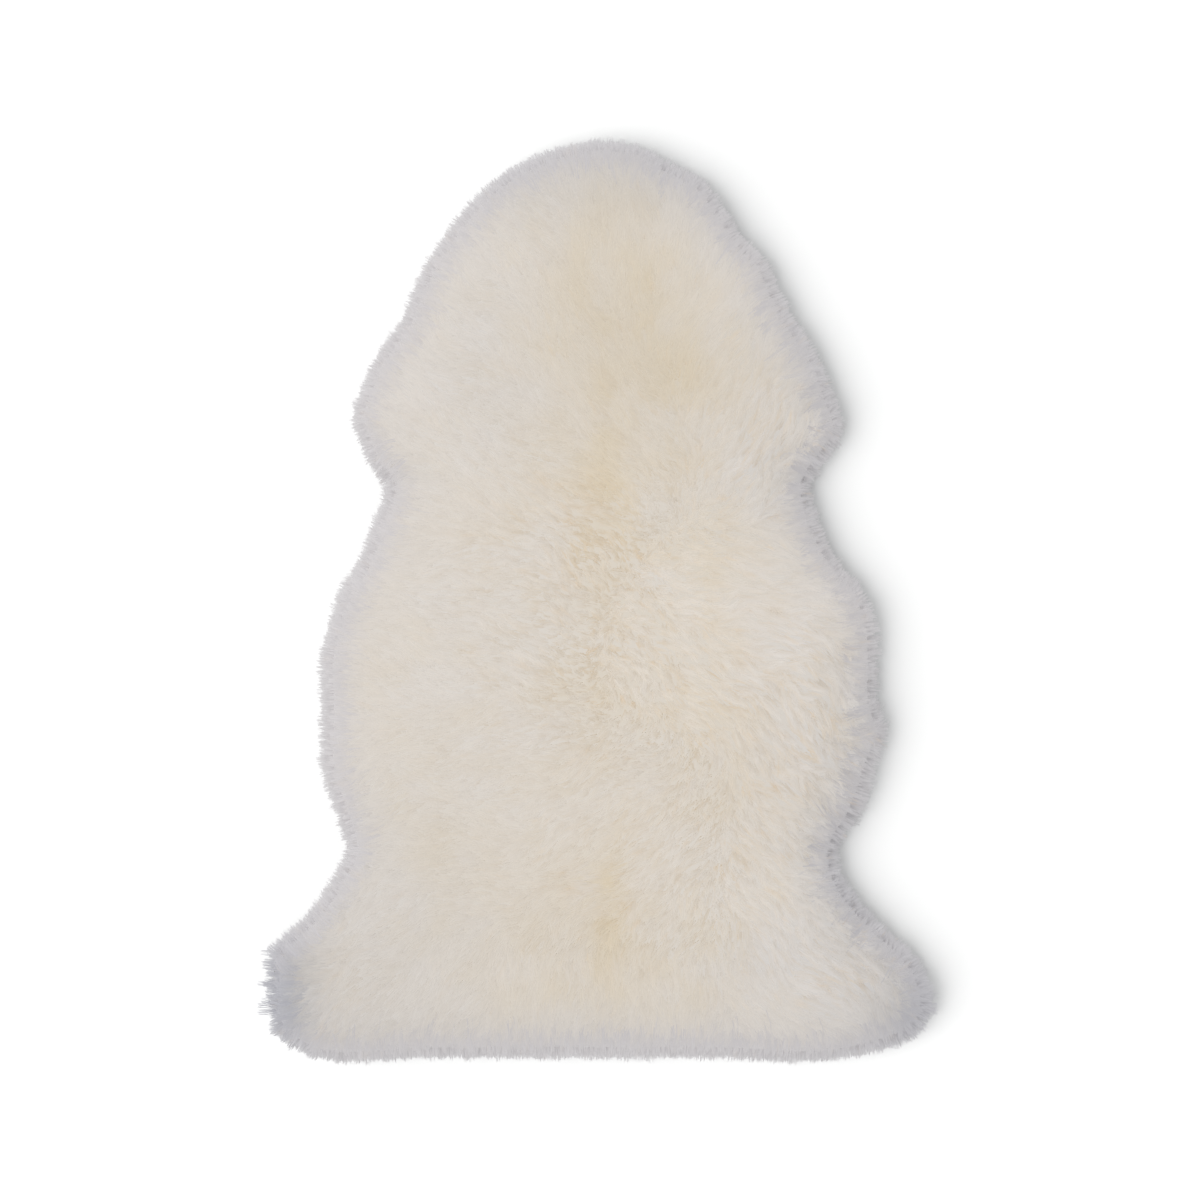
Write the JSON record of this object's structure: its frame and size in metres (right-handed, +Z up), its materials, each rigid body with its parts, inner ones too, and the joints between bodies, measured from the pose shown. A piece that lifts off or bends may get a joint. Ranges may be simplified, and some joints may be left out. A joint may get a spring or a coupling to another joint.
{
  "type": "sheepskin rug",
  "caption": "Natural-shape sheepskin rug in cream wool, lying flat: rounded neck, notches behind the forelegs, drawn-in haunches, spread hind legs and a straight tail edge",
  "frame": {"origin": "on the floor under the middle of the rug's bounding box", "axes": "+Y from the tail edge to the neck, +X to the right seen from above with the neck away from the viewer, +Z up out of the wool"},
  "size_m": [0.6841, 0.9493, 0.0519],
  "materials": {
    "wool": "long combed cream wool pile, matt with a faint silky sheen, yellower at the roots, whiter round the edge",
    "skin": "buffed suede side of the tanned skin, matt, seen only from below"
  },
  "bodies": {
    "root": {"sheepskin": "wool"}
  },
  "joints": []
}
